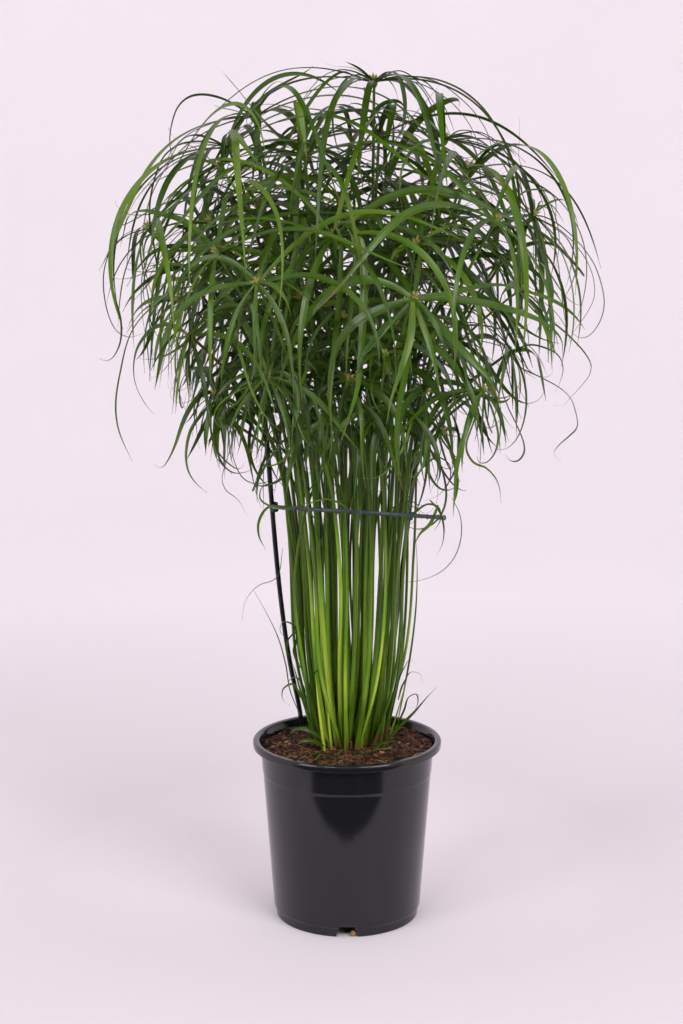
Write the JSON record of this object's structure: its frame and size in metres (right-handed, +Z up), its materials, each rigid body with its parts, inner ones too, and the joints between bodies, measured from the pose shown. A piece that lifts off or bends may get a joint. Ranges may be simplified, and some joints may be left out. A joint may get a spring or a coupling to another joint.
{
  "type": "potted umbrella sedge plant",
  "caption": "Umbrella sedge in a round black nursery pot: upright stems held by a hoop on canes, each ending in a crown of long drooping leaf blades.",
  "frame": {"origin": "on the ground, at the centre of the pot's foot, on the pot's axis", "axes": "+Z up along the pot's axis, -Y towards the front, where the picture was taken from, +X to the right of it"},
  "size_m": [0.6044, 0.5649, 1.0583],
  "materials": {
    "pot_plastic": "satin",
    "potting_soil": "matte",
    "hoop_plastic": "satin",
    "cane_coating": "satin",
    "stem_green": "satin",
    "leaf_green": "satin"
  },
  "bodies": {
    "root": {"pot": "pot_plastic", "soil": "potting_soil", "support_hoop": "hoop_plastic", "cane_left": "cane_coating", "cane_right": "cane_coating", "stem_01": "stem_green", "stem_02": "stem_green", "stem_03": "stem_green", "stem_04": "stem_green", "stem_05": "stem_green", "stem_06": "stem_green", "stem_07": "stem_green", "stem_08": "stem_green", "stem_09": "stem_green", "stem_10": "stem_green", "stem_11": "stem_green", "stem_12": "stem_green", "stem_13": "stem_green", "stem_14": "stem_green", "stem_15": "stem_green", "stem_16": "stem_green", "stem_17": "stem_green", "stem_18": "stem_green", "stem_19": "stem_green", "stem_20": "stem_green", "stem_21": "stem_green", "stem_22": "stem_green", "stem_23": "stem_green", "stem_24": "stem_green", "stem_25": "stem_green", "stem_26": "stem_green", "leaves_01": "leaf_green", "leaves_02": "leaf_green", "leaves_03": "leaf_green", "leaves_04": "leaf_green", "leaves_05": "leaf_green", "leaves_06": "leaf_green", "leaves_07": "leaf_green", "leaves_08": "leaf_green", "leaves_09": "leaf_green", "leaves_10": "leaf_green", "leaves_11": "leaf_green", "leaves_12": "leaf_green", "leaves_13": "leaf_green", "leaves_14": "leaf_green", "leaves_15": "leaf_green", "leaves_16": "leaf_green", "leaves_17": "leaf_green", "leaves_18": "leaf_green", "leaves_19": "leaf_green", "leaves_20": "leaf_green", "leaves_21": "leaf_green", "leaves_22": "leaf_green", "leaves_23": "leaf_green", "leaves_24": "leaf_green", "leaves_25": "leaf_green", "leaves_26": "leaf_green"}
  },
  "joints": []
}
